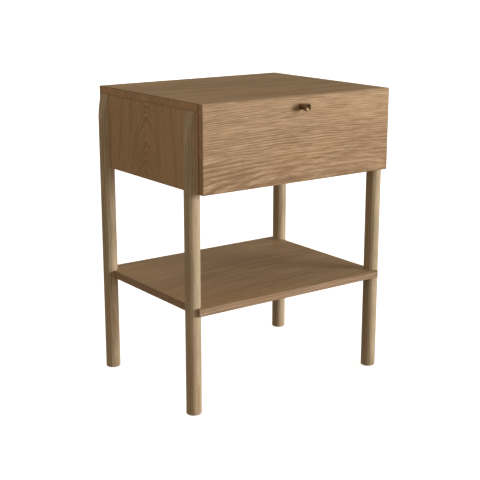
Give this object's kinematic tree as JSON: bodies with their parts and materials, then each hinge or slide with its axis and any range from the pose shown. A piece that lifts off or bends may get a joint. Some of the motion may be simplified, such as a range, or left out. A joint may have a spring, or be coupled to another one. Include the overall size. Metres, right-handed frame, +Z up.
{
  "type": "nightstand with drawer",
  "caption": "Small oak nightstand: a shallow case with a full-width drawer and turned knob on round legs that run up outside its sides, with a low shelf.",
  "frame": {"origin": "on the floor, in the middle of the overall width and depth, knob included", "axes": "+Z up, the drawer opens towards -Y, +X to the right of someone facing the drawer"},
  "size_m": [0.48, 0.395, 0.6],
  "materials": {
    "oak": "oiled",
    "birch": "clear satin",
    "aged_brass": "antique",
    "zinc_steel": "zinc plated",
    "ball_steel": "polished",
    "nylon": "matte",
    "rubber": "clear"
  },
  "bodies": {
    "case": {"top_panel": "oak", "case_bottom_panel": "oak", "left_side_panel": "oak", "right_side_panel": "oak", "back_panel": "oak", "front_left_leg": "oak", "front_right_leg": "oak", "rear_left_leg": "oak", "rear_right_leg": "oak", "lower_shelf": "oak", "leg_glides": "nylon", "leg_screws": "zinc_steel", "shelf_dowels": "birch", "top_dowels": "birch", "bottom_dowels": "birch", "back_panel_screws": "zinc_steel", "left_case_rail": "zinc_steel", "right_case_rail": "zinc_steel", "case_rail_screws": "zinc_steel"},
    "drawer": {"drawer_front": "oak", "drawer_inner_front": "birch", "drawer_left_side": "birch", "drawer_right_side": "birch", "drawer_back": "birch", "drawer_bottom": "birch", "drawer_front_screws": "zinc_steel", "drawer_bumpers": "rubber", "knob": "aged_brass", "knob_screw": "zinc_steel", "left_drawer_rail": "zinc_steel", "right_drawer_rail": "zinc_steel", "drawer_rail_screws": "zinc_steel"},
    "left_middle": {"left_middle_rail": "zinc_steel"},
    "right_middle": {"right_middle_rail": "zinc_steel"},
    "left_outer_bearing": {"left_outer_cage": "nylon", "left_outer_balls": "ball_steel"},
    "right_outer_bearing": {"right_outer_cage": "nylon", "right_outer_balls": "ball_steel"},
    "left_inner_bearing": {"left_inner_cage": "nylon", "left_inner_balls": "ball_steel"},
    "right_inner_bearing": {"right_inner_cage": "nylon", "right_inner_balls": "ball_steel"}
  },
  "joints": [
    {"name": "drawer_slide", "type": "slide", "parent": "case", "child": "drawer", "axis": [0, -1, 0], "range_m": [0, 0.28]},
    {"name": "left_middle_slide", "type": "slide", "parent": "case", "child": "left_middle", "axis": [0, -1, 0], "range_m": [0, 0.14]},
    {"name": "right_middle_slide", "type": "slide", "parent": "case", "child": "right_middle", "axis": [0, -1, 0], "range_m": [0, 0.14]},
    {"name": "left_outer_bearing_slide", "type": "slide", "parent": "case", "child": "left_outer_bearing", "axis": [0, -1, 0], "range_m": [0, 0.07]},
    {"name": "right_outer_bearing_slide", "type": "slide", "parent": "case", "child": "right_outer_bearing", "axis": [0, -1, 0], "range_m": [0, 0.07]},
    {"name": "left_inner_bearing_slide", "type": "slide", "parent": "case", "child": "left_inner_bearing", "axis": [0, -1, 0], "range_m": [0, 0.21]},
    {"name": "right_inner_bearing_slide", "type": "slide", "parent": "case", "child": "right_inner_bearing", "axis": [0, -1, 0], "range_m": [0, 0.21]}
  ],
  "couplings": [
    {"joint": "left_middle_slide", "follows": "drawer_slide", "ratio": 0.5},
    {"joint": "right_middle_slide", "follows": "drawer_slide", "ratio": 0.5},
    {"joint": "left_outer_bearing_slide", "follows": "drawer_slide", "ratio": 0.25},
    {"joint": "right_outer_bearing_slide", "follows": "drawer_slide", "ratio": 0.25},
    {"joint": "left_inner_bearing_slide", "follows": "drawer_slide", "ratio": 0.75},
    {"joint": "right_inner_bearing_slide", "follows": "drawer_slide", "ratio": 0.75}
  ]
}
